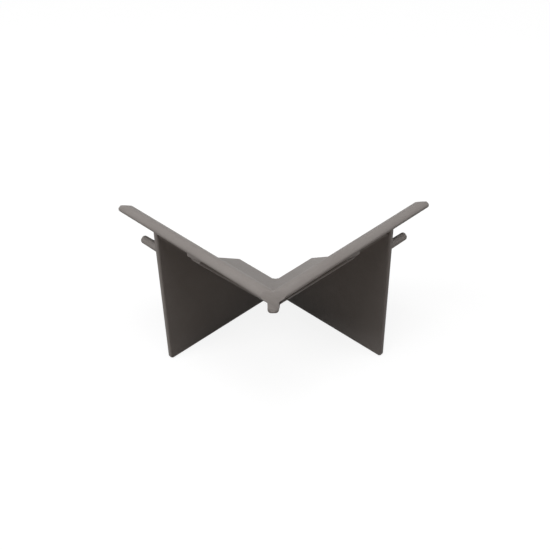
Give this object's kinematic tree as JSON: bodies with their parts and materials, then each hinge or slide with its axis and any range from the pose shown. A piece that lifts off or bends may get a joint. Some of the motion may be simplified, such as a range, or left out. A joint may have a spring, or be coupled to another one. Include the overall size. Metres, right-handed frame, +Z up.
{
  "type": "inner corner cap",
  "caption": "Moulded cap that joins and covers two wall-to-worktop sealing strips in the inside corner of a room.",
  "frame": {"origin": "inside corner of the two walls at worktop level", "axes": "+Z up along the wall corner, +Y from the corner into the room between the two walls, the walls run at 45 degrees to either side of +Y"},
  "size_m": [0.0476, 0.0411, 0.0256],
  "materials": {
    "moulding": "fine satin, as moulded"
  },
  "bodies": {
    "root": {"inner_corner_cap": "moulding"}
  },
  "joints": []
}
